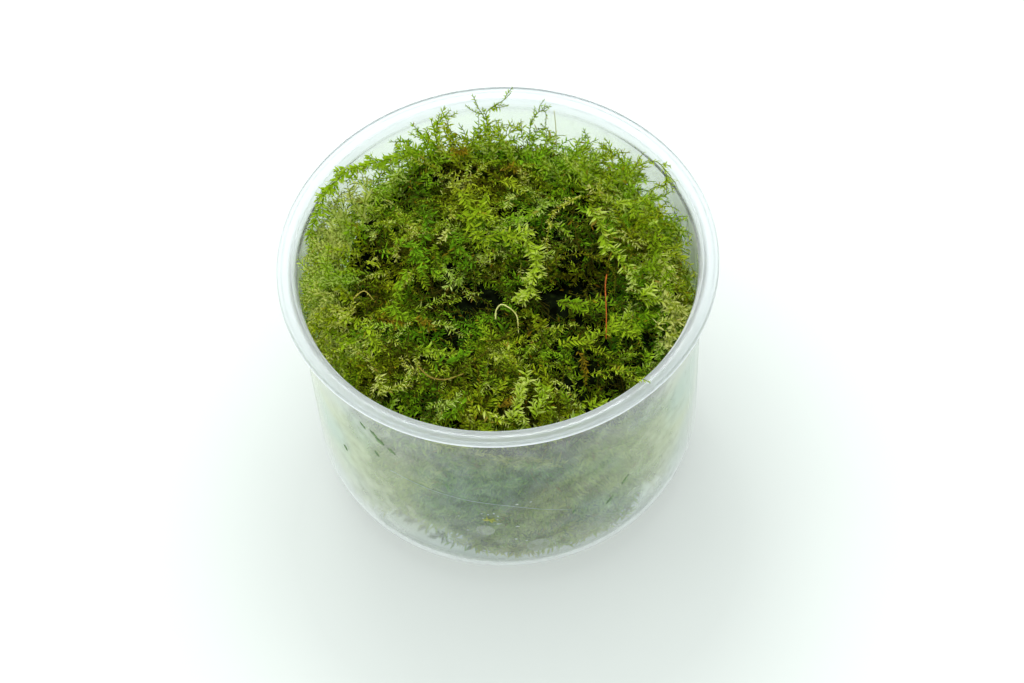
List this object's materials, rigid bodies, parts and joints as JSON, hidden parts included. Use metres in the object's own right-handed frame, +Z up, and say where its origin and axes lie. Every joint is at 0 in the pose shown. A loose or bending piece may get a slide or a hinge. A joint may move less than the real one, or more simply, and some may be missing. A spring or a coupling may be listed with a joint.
{
  "type": "flame moss in a clear culture cup",
  "caption": "Round clear plastic cup with a flat rim, filled to the top with a tangle of green flame moss; single sprigs curl above the mass",
  "frame": {"origin": "the middle of the cup's foot, on the surface it stands on, below the middle of the object's box", "axes": "+Z runs up out of the cup's mouth; -Y is the near side, the side the picture was taken from; +X is to its right"},
  "size_m": [0.086, 0.086, 0.0632],
  "materials": {
    "clear_plastic": "thin clear moulded polypropylene, slightly hazy, glossy rim",
    "moss_green": "small soft green leaves with a faint wet sheen, dark between the shoots",
    "moss_yellow": "young yellow-green leaves, translucent",
    "moss_pale": "bleached cream-green leaves and stalks",
    "stem_brown": "old bare moss stem, dry yellow-brown",
    "stem_red": "bare red-orange stalk, slightly glossy"
  },
  "bodies": {
    "root": {"cup": "clear_plastic", "moss_tangle": "moss_green", "back_curly_sprig": "moss_green", "back_left_sprig": "moss_green", "back_hooked_sprig": "moss_green", "back_bare_stalk": "moss_pale", "left_arching_sprig": "moss_pale", "right_back_sprig": "moss_green", "right_looped_sprig": "moss_pale", "yellow_stalk": "moss_pale", "crest_sprig": "moss_yellow", "hollow_edge_stem": "stem_brown", "red_stalk": "stem_red", "right_pale_sprig": "moss_pale", "bent_sprig": "moss_yellow", "curled_stem": "moss_pale", "bright_sprig": "moss_yellow", "front_left_pale_sprig": "moss_pale", "brown_stem": "stem_brown", "front_pale_sprig": "moss_pale", "rim_sprig": "moss_yellow", "tan_stem": "stem_brown"}
  },
  "joints": []
}
